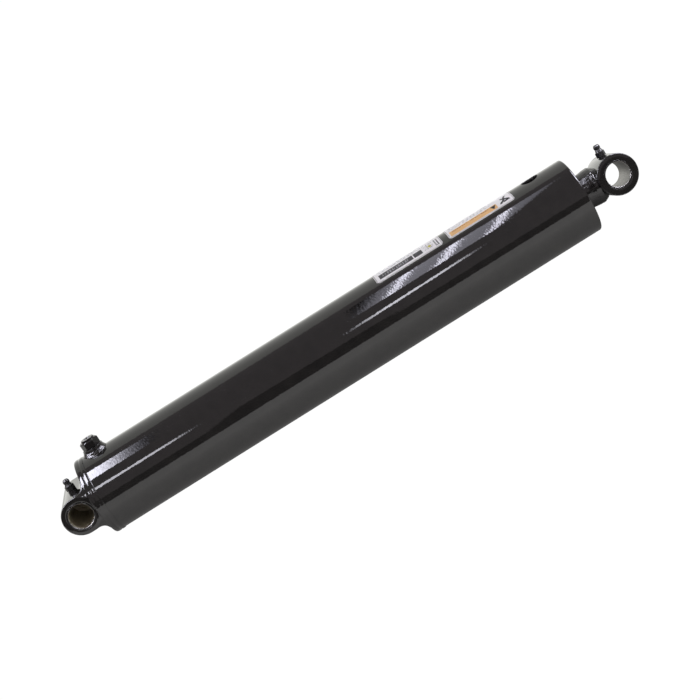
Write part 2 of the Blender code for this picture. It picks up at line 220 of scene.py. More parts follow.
def printed_film(name):
    """Printed label: colour from the print attribute, slight ink grain, glossy laminate."""
    n = Nodes(name)
    ink = n.add("ShaderNodeAttribute", attribute_name="print")
    where = n.coords()
    grain = n.noise(where, 900.0, 2.0)
    shade = n.ramp(grain, "Fac", [(0.3, 0.93), (0.7, 1.0)])
    mix = n.add("ShaderNodeMix", data_type="RGBA", blend_type="MULTIPLY")
    mix.inputs[0].default_value = 1.0
    n.tree.links.new(ink.outputs["Color"], mix.inputs[6])
    n.tree.links.new(shade.outputs["Color"], mix.inputs[7])
    n.tree.links.new(mix.outputs[2], n.shader.inputs["Base Color"])
    n.set(Roughness=0.5)
    n.shader.inputs["Specular IOR Level"].default_value = 0.2
    ripple = n.noise(where, 160.0, 2.0)
    n.link(n.bump(ripple, "Fac", 0.0002, 0.3), "Normal", n.shader, "Normal")
    return n.material


PAINT = black_paint("paint_gloss_black")
PAINT_CAST = black_paint("paint_gloss_black_cast", 1.3)
PAINT_WELD = black_paint("paint_gloss_black_weld", 1.0, 1.0)
PAINT_DULL = speckled("paint_black_dull", (0.012, 0.012, 0.012), (0.03, 0.03, 0.03), 0.3, 300.0)
STEEL_X = turned_metal("steel_turned_x", (0.46, 0.45, 0.44), 0.32, "X")
# Dark base colour is painted shade for the gland's steel, which lies inside the tube and shows down the head
# port; the higher roughness is its duller turned finish.
STEEL_PAINTED_SHADE = turned_metal("steel_turned_painted_shade", (0.13, 0.125, 0.12), 0.5, "X")
STEEL_Y = turned_metal("steel_turned_y", (0.22, 0.215, 0.205), 0.42, "Y", grain=900.0)
OILED = speckled("steel_oiled", (0.24, 0.215, 0.15), (0.34, 0.31, 0.225), 0.4, 160.0)
CHROME = turned_metal(
    "hard_chrome", (0.72, 0.73, 0.75), 0.07, "X", grain=2500.0, streak=0.12, depth=0.000004
)
ZINC = speckled("zinc_plate", (0.5, 0.48, 0.43), (0.62, 0.6, 0.55), 0.3, 260.0, 1.0)
RUBBER = speckled("nitrile_rubber", (0.014, 0.014, 0.014), (0.024, 0.023, 0.022), 0.55, 600.0)
URETHANE = speckled("polyurethane", (0.03, 0.07, 0.17), (0.045, 0.1, 0.23), 0.38, 400.0)
NYLON = speckled("filled_nylon", (0.05, 0.05, 0.055), (0.09, 0.09, 0.095), 0.5, 500.0)
PLUG = speckled("plug_plastic", (0.4, 0.365, 0.265), (0.48, 0.44, 0.325), 0.6, 300.0)
WORN = speckled("worn_edge", (0.015, 0.015, 0.015), (0.3, 0.29, 0.27), 0.35, 240.0, 0.3)
FILM = printed_film("label_print")
SLOT_LOOKS = {
    "gloss_black_paint": PAINT,
    "machined_steel": STEEL_X,
    "chromed_rod": CHROME,
    "zinc_plated_steel": ZINC,
    "nitrile_rubber": RUBBER,
    "polyurethane": URETHANE,
    "filled_nylon": NYLON,
    "label_film": FILM,
    "plug_plastic": PLUG,
}


def dress_cad_nodes():
    """Gives every CAD node the look of its slot; the ones replaced below stay hidden."""
    wanted = {s["node"]: s["material_slot"] for s in frame["record"]["subparts"]}
    for name, obj in frame["nodes"].items():
        obj.data.materials.clear()
        obj.data.materials.append(SLOT_LOOKS[wanted[name]])
        obj.data.shade_smooth()
        obj.data.set_sharp_from_angle(angle=math.radians(30))


# ---------------------------------------------------------------- mesh tools


def rounded(points, steps=5):
    """Profile of (height, radius) points; a third number is the fillet at that corner."""
    out = []
    count = len(points)
    for i, point in enumerate(points):
        here = Vector(point[:2])
        size = point[2] if len(point) > 2 else 0.0
        if not size:
            out.append(tuple(here))
            continue
        before = (Vector(points[i - 1][:2]) - here).normalized()
        after = (Vector(points[(i + 1) % count][:2]) - here).normalized()
        angle = before.angle(after)
        reach = size / math.tan(angle / 2)
        centre = here + (before + after).normalized() * size / math.sin(angle / 2)
        start = here + before * reach - centre
        sweep = start.angle_signed(here + after * reach - centre)
        for k in range(steps + 1):
            spin = Matrix.Rotation(-sweep * k / steps, 2)
            out.append(tuple(centre + spin @ start))
    return out


def skin(name, rows, matrix, ring=True, materials=(), pick=None, sharp=35.0):
    """Mesh from rows of points (rows, around, 3) in mm, closed around, and from row to row if ring.

    Without ring, the first and last rows close with a centre point. pick gives a face's material.
    """
    rows = np.asarray(rows, float)
    count, around = rows.shape[:2]
    points = rows.reshape(-1, 3)
    bands = count if ring else count - 1
    i = np.arange(bands)[:, None] * around
    j = (np.arange(bands)[:, None] + 1) % count * around
    k = np.arange(around)[None, :]
    n = (k + 1) % around
    quads = np.stack([i + k, i + n, j + n, j + k], -1).reshape(-1, 4)
    faces = quads.tolist()
    if not ring:
        ends = np.array([rows[0].mean(0), rows[-1].mean(0)])
        points = np.vstack([points, ends])
        first, last = len(points) - 2, len(points) - 1
        start = (count - 1) * around
        for a in range(around):
            b = (a + 1) % around
            faces.append([b, a, first])
            faces.append([start + a, start + b, last])
    return solid(name, points, faces, matrix, materials, pick, sharp)


def solid(name, points, faces, matrix, materials=(), pick=None, sharp=35.0):
    """Object from points and faces in mm, placed by matrix, smooth but for edges past sharp degrees."""
    mesh = bpy.data.meshes.new(name)
    mesh.from_pydata([tuple(p) for p in points], [], faces)
    bm = bmesh.new()
    bm.from_mesh(mesh)
    bmesh.ops.recalc_face_normals(bm, faces=bm.faces)
    if pick:
        for face in bm.faces:
            face.material_index = pick(face.calc_center_median())
    bm.transform(matrix)
    bm.to_mesh(mesh)
    bm.free()
    for material in materials or (PAINT,):
        mesh.materials.append(material)
    mesh.shade_smooth()
    mesh.set_sharp_from_angle(angle=math.radians(sharp))
    obj = bpy.data.objects.new(name, mesh)
    bpy.context.scene.collection.objects.link(obj)
    return obj


def circle(around):
    return np.arange(around) * math.tau / around


def row(reach, angles, height):
    """One row of skin(): radius by angle, at one height or a height by angle."""
    return np.stack([reach * np.cos(angles), reach * np.sin(angles), height + 0 * angles], -1)


def lathe(name, profile, matrix, ring=True, around=128, **options):
    """Turned piece round +Z from a (height, radius) profile."""
    angles = circle(around)
    rows = [row(np.full(around, radius), angles, height) for height, radius in profile]
    return skin(name, rows, matrix, ring, **options)


def hexagon(flats, corner=0.5):
    """Radius by angle of a hexagon with rounded corners, one corner at angle 0."""
    centre = (flats / 2 - corner) / math.cos(math.pi / 6)
    tangent = math.atan2(corner / 2, centre + corner * math.cos(math.pi / 6))

    def radius(angles):
        off = np.abs((angles + math.pi / 6) % (math.pi / 3) - math.pi / 6)
        flat = flats / 2 / np.cos(math.pi / 6 - off)
        arc = centre * np.cos(off) + np.sqrt(np.maximum(0, corner**2 - (centre * np.sin(off)) ** 2))
        return np.where(off < tangent, arc, flat)

    return radius


def hex_angles(near=2.0):
    """Angles round a hexagon, closer together at its corners."""
    offsets = [-near, -near * 0.66, -near * 0.33, 0.0, near * 0.33, near * 0.66, near]
    offsets += [5.0, 9.0, 14.0, 19.0, 24.0, 30.0, 36.0, 41.0, 46.0, 51.0, 55.0]
    return np.radians(np.array([60.0 * c + o for c in range(6) for o in offsets]))


def hex_turned(name, profile, matrix, flats, hexed, ring=True, **options):
    """Turned piece whose rows numbered in hexed are cut to a hexagon."""
    angles = hex_angles()
    outline = hexagon(flats)(angles)
    rows = []
    for index, (height, radius) in enumerate(profile):
        reach = np.full(len(angles), float(radius))
        if index in hexed:
            reach = np.minimum(reach, outline)
        rows.append(row(reach, angles, height))
    return skin(name, rows, matrix, ring, **options)


def applied(obj):
    """Bakes obj's modifiers into its mesh."""
    graph = bpy.context.evaluated_depsgraph_get()
    result = obj.evaluated_get(graph)
    mesh = bpy.data.meshes.new_from_object(result, preserve_all_data_layers=True, depsgraph=graph)
    obj.modifiers.clear()
    old = obj.data
    obj.data = mesh
    bpy.data.meshes.remove(old)
    return obj


def boolean(obj, other, operation):
    """Cuts obj with other, or adds it, and removes other."""
    modifier = obj.modifiers.new("boolean", "BOOLEAN")
    modifier.operation = operation
    modifier.solver = "EXACT"
    modifier.object = other
    applied(obj)
    bpy.data.objects.remove(other, do_unlink=True)


def keep(obj, body, node):
    """Puts a piece on its body in place of the CAD node."""
    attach(obj, body)
    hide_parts(node)


def waves(seed, count, low, high):
    """Smooth random periodic function of an angle: sum of harmonics from low to high."""
    rng = np.random.RandomState(seed)
    orders = rng.randint(low, high, count)
    phases = rng.uniform(0, math.tau, count)
    sizes = rng.uniform(0.4, 1.0, count)
    sizes /= np.sqrt((sizes**2).sum())

    def value(angles):
        return sum(s * np.sin(o * angles + p) for o, p, s in zip(orders, phases, sizes))

    return value


def surface_height(y):
    """Height of the tube's outside over its axis, at y across it."""
    return np.sqrt(TUBE_R**2 - np.asarray(y) ** 2)


# ---------------------------------------------------------------- barrel


def radial_normals(obj):
    """Exact normals on the tube's outside, so that its long gloss reflections run straight."""
    mesh = obj.data
    normals = []
    for poly in mesh.polygons:
        for index in poly.loop_indices:
            co = mesh.vertices[mesh.loops[index].vertex_index].co
            out = Vector((0.0, co.y, co.z - AXIS_Z))
            on_radius = abs(out.length - TUBE_R * MM) < 0.00002
            on_tube = on_radius and poly.normal.dot(out.normalized()) > 0.95
            if on_tube:
                normals.append(out.normalized())
            else:
                normals.append(mesh.corner_normals[index].vector.copy())
    mesh.normals_split_custom_set(normals)


def lipped_cutter(name, station, radius, lip):
    """Round cutter whose mouth flares where it leaves the tube's curved outside."""
    angles = circle(96)
    rows = []
    for reach, height, follow in (
        (radius, 20.0, False),
        (radius, -lip * 1.2, True),
        (radius + lip * 0.3, -lip * 0.45, True),
        (radius + lip, 0.02, True),
        (radius + lip * 2.2, lip * 0.7, True),
        (radius + lip * 2.2, 60.0, False),
    ):
        base = surface_height(reach * np.sin(angles)) if follow else 0.0
        rows.append(row(reach, angles, base + height))
    return skin(name, rows, frame_of("Z", station), ring=False)


def make_barrel():
    profile = rounded(
        [
            (TUBE_START, TUBE_R, 0.3),
            (TUBE_END, TUBE_R, 1.7),
            (TUBE_END, 35.9, 0.4),
            (596.4, 35.2, 0.3),
            (594.2, 35.2),
            (594.2, 37.1),
            (591.2, 37.1),
            (591.2, BORE_R),
            (20.9, BORE_R),
            (20.9, 36.0),
        ]
    )
    looks = [PAINT, STEEL_X]
    tube = lathe("barrel", profile, frame_of("X", 0.0), around=360, materials=looks, pick=inside_bore)
    boolean(tube, lipped_cutter("cut_head", HEAD_PORT_X, HEAD_PORT_R, 0.5), "DIFFERENCE")
    drill = [(20, BASE_PORT_BORE_R), (60, BASE_PORT_BORE_R)]
    boolean(tube, lathe("cut_base", drill, frame_of("Z", BASE_PORT_X), False, 48), "DIFFERENCE")
    tube.data.shade_smooth()
    tube.data.set_sharp_from_angle(angle=math.radians(35))
    radial_normals(tube)
    keep(tube, "barrel", "barrel_tube")


def inside_bore(point):
    radius = math.hypot(point.x, point.y)
    return 1 if radius < 36.0 and point.z < 596.0 else 0


def lug_outline():
    """Side view of the cap's lug: the eye's outer half circle, flared into the cap's face."""
    points = []
    for k in range(129):
        angle = math.radians(90 + 180 * k / 128)
        points.append((CAP_EYE_R * math.cos(angle), CAP_EYE_R * math.sin(angle)))
    flare = []
    for k in range(25):
        angle = math.radians(90 * k / 24)
        rise = CAP_EYE_R + FLARE_R * (1 - math.cos(angle))
        flare.append((CAP_FACE - FLARE_R + FLARE_R * math.sin(angle), rise))
    root = (CAP_FACE + 2.0, CAP_EYE_R + FLARE_R)
    lower = [(x, -z) for x, z in flare] + [(root[0], -root[1])]
    return points + lower + [root] + list(reversed(flare))


def prism(name, outline, half, matrix):
    """Outline in x and z, drawn out to half on each side of y = 0."""
    points = [(x, -half, z) for x, z in outline] + [(x, half, z) for x, z in outline]
    count = len(outline)
    faces = [list(range(count)), list(range(2 * count - 1, count - 1, -1))]
    faces += [[k, (k + 1) % count, count + (k + 1) % count, count + k] for k in range(count)]
    return solid(name, points, faces, matrix)


def softened(obj, voxel, rounds):
    """Rounds every edge of a casting: fine voxel skin, then smoothing."""
    remesh = obj.modifiers.new("remesh", "REMESH")
    remesh.mode = "VOXEL"
    remesh.voxel_size = voxel
    remesh.use_smooth_shade = True
    smooth = obj.modifiers.new("smooth", "SMOOTH")
    smooth.factor = 0.5
    smooth.iterations = rounds
    return applied(obj)


def make_cap():
    casting = prism("cap_casting", lug_outline(), CAP_EYE_HALF, frame_of("Z", 0.0))
    along = frame_of("X", 0.0)
    trim = [(-40, 43.6), (3, 43.6), (14, 40.4), (20, 40.4)]
    boolean(casting, lathe("trim", trim, along, False, 256), "INTERSECT")
    plate = [(CAP_FACE, 39.4, 0.8), (17.6, 41.0, 0.5), (18.4, 41.0), (20.6, 36.0), (20.6, 34.6), (30.0, 34.6)]
    boolean(casting, lathe("plate", rounded(plate), along, False, 256), "UNION")
    bore = [(-50, BUSH_R + 0.1), (50, BUSH_R + 0.1)]
    boolean(casting, lathe("bore", bore, frame_of("Y", 0.0), False, 160), "DIFFERENCE")
    softened(casting, CAP_VOXEL, 6)
    casting.data.materials.clear()
    casting.data.materials.append(PAINT_CAST)
    casting.data.shade_smooth()
    keep(casting, "barrel", "cap_eye_casting")


def make_cap_weld():
    """Two rippled beads side by side between the cap and the tube."""
    angles = circle(900)
    wander = [waves(3, 9, 5, 40), waves(4, 9, 5, 40)]
    ripple = [waves(5, 3, 118, 131), waves(6, 3, 112, 127)]
    rows = []
    for x in np.linspace(16.9, 26.9, 33):
        lobe, centre, wide = (0, 19.6, 2.75) if x < 22.0 else (1, 24.4, 2.65)
        off = (x - centre) / wide
        crown = math.sqrt(max(0.0, 1 - off * off))
        phase = angles + 0.02 * off * off
        rough = 0.009 * ripple[lobe](phase) * crown + 0.02 * wander[lobe](angles)
        reach = np.minimum(41.05 + 1.0 * crown + rough, WELD_R - 0.02)
        rows.append(row(reach, angles, x))
    for x, reach in ((26.9, 40.6), (16.9, 40.4)):
        rows.append(row(reach, angles, x))
    weld = skin("cap_weld_beads", rows, frame_of("X", 0.0), materials=[PAINT], sharp=60)
    keep(weld, "barrel", "cap_weld")


# ---------------------------------------------------------------- eyes and nipples


def make_bush(name, node, half, station, turn, body, wall):
    """Bushing with chamfered mouths, painted on its end faces."""
    profile = rounded(
        [
            (-half + 0.5, PIN_R),
            (-half, PIN_R + 0.5),
            (-half, BUSH_R, 0.25),
            (half, BUSH_R, 0.25),
            (half, PIN_R + 0.5),
            (half - 0.5, PIN_R),
        ]
    )
    reach = half - BUSH_PAINTED

    def pick(point):
        if math.hypot(point.x, point.y) > PIN_R + 0.55:
            return 1
        return 2 if abs(point.z) > reach else 0

    looks = [wall, PAINT, WORN]
    bush = lathe(name, profile, frame_of("Y", station, turn), around=160, materials=looks, pick=pick)
    keep(bush, body, node)


def make_bore_plug():
    """Push-in cup that closes the far end of the cap eye's bushing."""
    cup = [
        (18.0, 0.3),
        (18.0, 7.5, 0.3),
        (18.6, 7.9, 0.3),
        (18.6, 11.9, 0.3),
        (18.1, 12.35, 0.25),
        (37.5, 12.35, 0.3),
        (37.5, 11.1, 0.3),
        (20.2, 11.1, 0.4),
        (20.2, 0.3),
    ]
    plug = lathe("cap_bore_cup", rounded(cup), frame_of("Y", 0.0), False, 128, materials=[PLUG])
    keep(plug, "barrel", "cap_bore_plug")


def make_nipple(name, node, eye_radius, tip, station, turn, body):
    """Grease nipple: a hexagon on the eye, then a waisted stem and an open head."""
    low = eye_radius + 0.15
    profile = rounded(
        [
            (BUSH_R + 1.2, 1.6),
            (BUSH_R + 1.2, 3.2),
            (low, 3.2),
            (low, 5.3, 0.2),
            (low + 5.0, 5.3, 0.25),
            (low + 5.3, 4.6, 0.1),
            (low + 5.6, 4.1, 0.4),
            (tip - 4.9, 3.1, 0.5),
            (tip - 3.8, 3.6, 0.4),
            (tip - 1.9, 3.5, 0.6),
            (tip - 0.2, 2.4, 0.3),
            (tip - 0.1, 0.9, 0.15),
            (tip - 1.4, 0.85),
            (tip - 1.6, 1.6),
        ],
        4,
    )
    hexed = {i for i, (h, r) in enumerate(profile) if low - 0.01 <= h <= low + 5.35 and r > 4.2}
    place = frame_of("Z", station, turn)
    nipple = hex_turned(name, profile, place, NIPPLE_FLATS, hexed, materials=[PAINT_DULL])
    keep(nipple, body, node)


def make_rod_eye():
    """The rod's eye, and the lumpy weld that joins it to the rod."""
    half = ROD_EYE_HALF
    wall = [(-half, BUSH_R, 0.2), (-half, ROD_EYE_R, 0.9), (half, ROD_EYE_R, 0.9), (half, BUSH_R, 0.2)]
    profile = rounded(wall, 6)
    across = frame_of("Y", PIN_TO_PIN, ROD_TURN)
    eye = lathe("rod_eye_tube", profile, across, around=256, materials=[PAINT])
    keep(eye, "rod", "rod_eye")
    angles = circle(420)
    lumps = [waves(11 + k, 10, 6, 46) for k in range(4)]
    outline = rounded(
        [
            (601.5, 18.7),
            (604.5, 19.15, 3.0),
            (610.5, 19.85, 4.0),
            (615.8, 20.05, 3.5),
            (621.0, 17.6, 3.0),
            (624.0, 13.0),
        ],
        7,
    )
    rows = []
    for x, radius in outline:
        side = np.sin(angles) ** 2
        blend = math.exp(-(((x - 613.4) / 4.2) ** 2))
        drift = angles + 0.015 * (x - 610)
        rough = sum(f(drift) * math.cos(0.9 * k * (x - 604)) for k, f in enumerate(lumps)) / 2
        grow = min(1.0, max(0.0, (x - 604.5) / 6))
        reach = radius + 2.1 * side * blend + 0.16 * grow * rough
        rows.append(row(reach, angles, x))
    place = frame_of("X", 0.0, ROD_TURN)
    weld = skin("rod_eye_weld_bead", rows, place, False, materials=[PAINT_WELD], sharp=70)
    keep(weld, "rod", "rod_eye_weld")


# ---------------------------------------------------------------- ports


def make_base_port():
    """The raised port by the cap, its fillet weld and its hexagon plug."""
    angles = circle(144)
    rows = []
    for reach, height, follow in (
        (7.15, -1.0, True),
        (11.0, -1.0, True),
        (11.0, 46.2, False),
        (10.9, 46.55, False),
        (10.6, 46.76, False),
        (10.2, 46.8, False),
        (9.4, 46.8, False),
        (9.3, 46.7, False),
        (9.3, 45.0, False),
        (7.15, 45.0, False),
    ):
        base = surface_height(reach * np.sin(angles)) if follow else 0.0
        rows.append(row(reach, angles, base + height))
    boss = skin("base_port_ring", rows, frame_of("Z", BASE_PORT_X), materials=[PAINT])
    keep(boss, "barrel", "base_port_boss")

    angles = circle(360)
    ripple, wander = waves(21, 3, 34, 41), waves(22, 8, 3, 17)
    section = [(10.6, -0.6), (13.3, -0.6), (13.35, 0.1), (13.1, 0.55), (12.6, 1.0)]
    section += [(12.1, 1.7), (11.7, 2.5), (11.25, 3.3), (10.6, 3.7)]
    rows = []
    for k, (reach, height) in enumerate(section):
        loose = 1.0 if 1 < k < 8 else 0.0
        r = reach + loose * (0.12 * ripple(angles + 0.05 * k) + 0.1 * wander(angles))
        h = height + loose * 0.14 * ripple(angles + 0.05 * k + 0.03)
        rows.append(row(r, angles, surface_height(r * np.sin(angles)) + h))
    weld = skin("base_port_fillet", rows, frame_of("Z", BASE_PORT_X), materials=[PAINT_WELD], sharp=80)
    keep(weld, "barrel", "base_port_weld")

    profile = rounded(
        [
            (37.0, 6.6),
            (47.1, 6.85),
            (47.1, 9.6, 0.15),
            (47.8, 10.3, 0.3),
            (53.6, 10.3, 0.3),
            (54.9, 8.4, 0.3),
            (54.75, 7.25, 0.15),
            (54.75, 7.0),
            (56.8, 7.0, 0.35),
            (56.8, 3.6, 0.2),
            (56.1, 3.2),
        ],
        4,
    )
    hexed = {i for i, (h, r) in enumerate(profile) if 47.0 < h < 55.2 and r > 7.3}
    place = frame_of("Z", BASE_PORT_X)
    plug = hex_turned("base_port_plug_head", profile, place, PLUG_FLATS, hexed, False, materials=[PAINT])
    keep(plug, "barrel", "base_port_plug")


# ---------------------------------------------------------------- rod and head


def make_rod():
    """Chromed rod with its spud for the piston, painted from the gland outwards."""
    profile = rounded(
        [
            (32.0, 11.5, 0.0),
            (33.0, 12.5, 0.3),
            (101.3, 12.5),
            (101.3, 18.2, 0.2),
            (102.2, ROD_R, 0.4),
            (PAINTED_ROD_X, ROD_R),
            (PAINTED_ROD_X + 0.05, ROD_R + 0.02),
            (PISTON_ROD_END, ROD_R + 0.02),
        ]
    )

    def pick(point):
        return 1 if point.z > PAINTED_ROD_X else 0

    place, looks = frame_of("X", 0.0, ROD_TURN), [CHROME, PAINT_CAST]
    rod = lathe("piston_rod_bar", profile, place, False, 200, materials=looks, pick=pick)
    keep(rod, "rod", "piston_rod")


def make_head():
    """The gland and the wiper's lip, then the snap ring that holds them."""
    profile = rounded(
        [
            (509.0, 19.7),
            (509.0, 29.0, 1.0),
            (574.5, 29.0),
            (574.5, 34.6, 0.4),
            (590.9, 34.6, 0.8),
            (590.9, 27.5, 0.3),
            (589.9, 27.0, 0.3),
            (589.9, 24.6, 0.3),
            (590.9, 24.0, 0.3),
            (590.9, 23.7, 0.1),
            (584.5, 23.7),
            (584.5, 19.7),
        ]
    )

    def pick(point):
        return 1 if point.z > 589.0 else 0

    # The gland's steel below its painted face is darkened: painted shade for its place inside the tube.
    place, looks = frame_of("X", 0.0), [STEEL_PAINTED_SHADE, PAINT]
    gland = lathe("gland_head", profile, place, around=192, materials=looks, pick=pick)
    keep(gland, "barrel", "head_gland")
    lip = rounded(
        [
            (584.8, 19.8),
            (584.8, 23.4),
            (590.3, 23.4, 0.3),
            (591.0, 22.4, 0.4),
            (592.6, 20.1, 0.3),
            (592.6, 19.35, 0.2),
            (590.6, 19.35),
            (588.2, 20.2),
        ]
    )
    wiper = lathe("gland_wiper_lip", lip, place, around=160, materials=[URETHANE])
    keep(wiper, "barrel", "gland_wiper")
    make_retaining_ring()


def make_retaining_ring():
    """Internal snap ring: an open ring with an eyed lug at each end."""
    low, high, inner, outer = 591.5, 593.9, 32.6, 36.7
    gap = math.radians(15.0)
    angles = np.linspace(gap, math.tau - gap, 241)
    outline = [(inner * math.cos(a), inner * math.sin(a)) for a in angles]
    outline += [(outer * math.cos(a), outer * math.sin(a)) for a in reversed(angles)]
    count = len(outline)
    points = [(x, y, low) for x, y in outline] + [(x, y, high) for x, y in outline]
    faces = [[k, (k + 1) % count, count + (k + 1) % count, count + k] for k in range(count)]
    half = count // 2
    for k in range(half - 1):
        faces.append([k, k + 1, count - 2 - k, count - 1 - k])
        faces.append([count + k, count + k + 1, 2 * count - 2 - k, 2 * count - 1 - k])
    place = frame_of("X", 0.0, turn=180.0)
    ring = solid("gland_snap_ring", points, faces, place, [PAINT])
    for side in (-1, 1):
        angle = side * (gap + 0.075)
        eye = [(low, 1.1), (low, 3.2), (high, 3.2), (high, 1.1)]
        centre = Vector((31.9 * math.cos(angle), 31.9 * math.sin(angle), 0.0))
        at = place @ Matrix.Translation(centre)
        lug = lathe("lug", rounded([(h, r, 0.15) for h, r in eye]), at, around=40, materials=[PAINT])
        boolean_join(ring, lug)
    keep(ring, "barrel", "gland_retaining_ring")


def boolean_join(obj, other):
    bpy.context.view_layer.objects.active = obj
    with bpy.context.temp_override(active_object=obj, selected_editable_objects=[obj, other]):
        bpy.ops.object.join()


# ---------------------------------------------------------------- labels

# Inks. The marks are plain shapes, with u along the barrel and v up from the label's near edge, in mm.
WHITE = (0.9, 0.9, 0.91)
INK = (0.012, 0.012, 0.014)
GREY = (0.33, 0.33, 0.34)
SLATE = (0.05, 0.05, 0.053)
PALE = (0.4, 0.4, 0.41)
ORANGE = (0.82, 0.51, 0.22)
RUST = (0.3, 0.07, 0.02)
LIME = (0.55, 0.52, 0.1)


def bars(rng, length, low, high):
    """Edges of random bars along a length, as a list of (start, end)."""
    out, at = [], 0.0
    while at < length:
        wide = rng.uniform(low, high)
        out.append((at, min(length, at + wide)))
        at += wide + rng.uniform(low, high)
    return out


def in_bars(value, edges):
    hit = np.zeros_like(value, bool)
    for a, b in edges:
        hit |= (value >= a) & (value < b)
    return hit


def print_size_label(u, v, length, width):
    """White label: a row of plain blocks, a patch of short lines, a small dot and two heavy strokes."""
    colour = np.empty(u.shape + (3,))
    colour[:] = WHITE
    rng = np.random.RandomState(5)

    def paint(mask, value):
        colour[mask] = value

    row = (v > 4.2) & (v < 13.2)
    middle_row = (v > 6.2) & (v < 11.2)
    paint(row & (u > 5.0) & (u < 44.4), SLATE)
    marks = in_bars(u - 9.0, bars(rng, 34.0, 0.7, 2.0))
    paint(middle_row & (u > 9.0) & (u < 40.0) & marks & (np.sin(2.1 * v + 1.7 * u) > -0.5), PALE)
    paint(row & (u > 45.8) & (u < 55.6), SLATE)
    patch = in_bars(u, bars(rng, length, 0.5, 1.6))
    for k, (a, b) in enumerate(((58.6, 68.2), (60.0, 69.0), (58.6, 66.0), (60.5, 68.6))):
        at = 6.4 + 3.1 * k
        paint((np.abs(v - at) < 0.75) & (u > a) & (u < b) & patch, GREY)
    paint(((u - 64.6) ** 2 + ((v - 9.4) * 0.8) ** 2) < 3.2, LIME)
    strokes = ((u > 70.4) & (u < 71.7)) | ((u > 73.1) & (u < 74.6))
    paint((v > 3.6) & (v < 17.0) & strokes & (np.sin(2.4 * v) > -0.75), INK)
    paint((np.abs(v - 3.6) < 0.5) & (u > 70.4) & (u < 74.6), INK)
    for k in range(6):
        at = 17.5 + 3.2 * k
        reach = length - 12.0 - 5.0 * (k % 3)
        words = in_bars(u, bars(rng, length, 1.0, 3.2))
        paint((np.abs(v - at) < 0.55) & (u > 5.0) & (u < reach) & words, GREY)
    edge = np.minimum(np.minimum(u, length - u), np.minimum(v, width - v))
    paint((edge > 0.7) & (edge < 1.15), GREY)
    return colour


def print_stripe_label(u, v, length, width):
    """White label with an orange stripe, a row of small dashes, a plain triangle and a plain mark."""
    colour = np.empty(u.shape + (3,))
    colour[:] = WHITE
    rng = np.random.RandomState(8)

    def paint(mask, value):
        colour[mask] = value

    stripe = (u > 3.0) & (u < 58.2) & (v > 2.3) & (v < 11.2)
    paint(stripe, ORANGE)
    dashes = in_bars(u, bars(rng, length, 0.6, 1.8))
    paint(stripe & (u > 5.0) & (u < 50.0) & (np.abs(v - 8.9) < 0.9) & dashes, RUST)
    drop = (v - 3.6) / 6.2
    paint(stripe & (drop > 0) & (drop < 1) & (np.abs(u - 54.4) < 3.0 * drop + 0.3), INK)
    for k in range(6):
        at = 15.0 + 3.4 * k
        reach = 54.0 - 6.0 * (k % 2)
        words = in_bars(u, bars(rng, length, 1.0, 3.0))
        paint((np.abs(v - at) < 0.6) & (u > 4.0) & (u < reach) & words, GREY)
    for slope, shift, low, high in (
        (0.9, 0.0, 62.0, 69.5),
        (-0.9, 1.5, 64.5, 73.4),
        (0.15, -3.6, 66.0, 73.0),
        (1.6, 3.2, 66.4, 71.8),
    ):
        ray = np.abs((u - 67.8) * slope - (v - 9.6 - shift))
        paint((ray < 1.25 + 0.5 * abs(slope)) & (u > low) & (u < high) & (v > 4.4) & (v < 17.0), INK)
    edge = np.minimum(np.minimum(u, length - u), np.minimum(v, width - v))
    paint((edge > 0.7) & (edge < 1.15) & ~stripe, GREY)
    return colour


